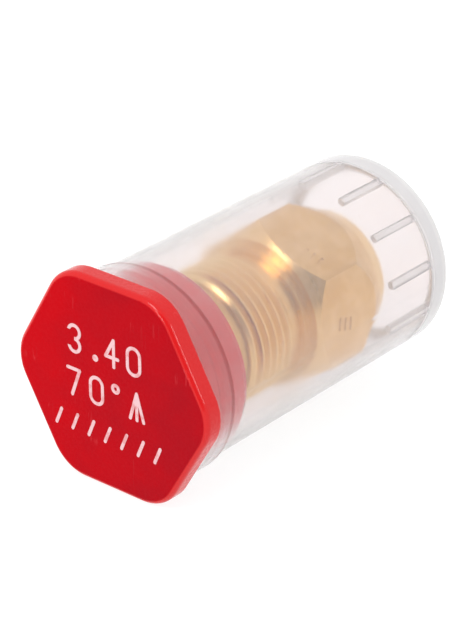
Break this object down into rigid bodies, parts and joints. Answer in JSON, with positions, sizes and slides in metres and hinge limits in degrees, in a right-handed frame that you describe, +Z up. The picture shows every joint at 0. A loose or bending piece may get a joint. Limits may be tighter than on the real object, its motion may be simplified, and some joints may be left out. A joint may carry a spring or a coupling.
{
  "type": "oil burner nozzle in storage vial",
  "caption": "Brass oil burner nozzle with sintered filter, packed in a clear round vial that is closed by a red hexagonal plug cap.",
  "frame": {"origin": "under the middle of the object, at the bottom of the cap's lower flat", "axes": "+Y along the vial from the cap to the closed end, +Z up, +X to the right when the cap's printed face is seen from -Y"},
  "size_m": [0.024, 0.0402, 0.022],
  "materials": {
    "clear_plastic": "clear, slightly milky",
    "red_plastic": "satin gloss",
    "white_ink": "printed ink",
    "brass": "turned",
    "steel": "ground",
    "sintered_bronze": "sintered grain"
  },
  "bodies": {
    "vial": {"tube": "clear_plastic"},
    "cap": {"plug_cap": "red_plastic", "cap_print": "white_ink"},
    "nozzle": {"nozzle_body": "brass", "orifice_disc": "steel", "swirl_cone": "steel"},
    "screw": {"lock_screw": "brass"},
    "filter": {"filter_stem": "brass", "filter_sleeve": "sintered_bronze"}
  },
  "joints": [
    {"name": "cap_pull", "type": "slide", "parent": "vial", "child": "cap", "axis": [0, -1, 0], "range_m": [0, 0.06]},
    {"name": "nozzle_out", "type": "slide", "parent": "vial", "child": "nozzle", "axis": [0, -1, 0], "range_m": [0, 0.036]},
    {"name": "filter_unscrew", "type": "hinge", "parent": "nozzle", "child": "filter", "pos_m": [0, -0.0081, 0.0107], "axis": [0, -1, 0], "continuous": true},
    {"name": "lock_screw_turn", "type": "hinge", "parent": "nozzle", "child": "screw", "pos_m": [0, 0.0049, 0.0107], "axis": [0, -1, 0], "continuous": true}
  ],
  "couplings": [
    {"joint": "nozzle_out", "follows": "cap_pull", "ratio": 0.6}
  ]
}
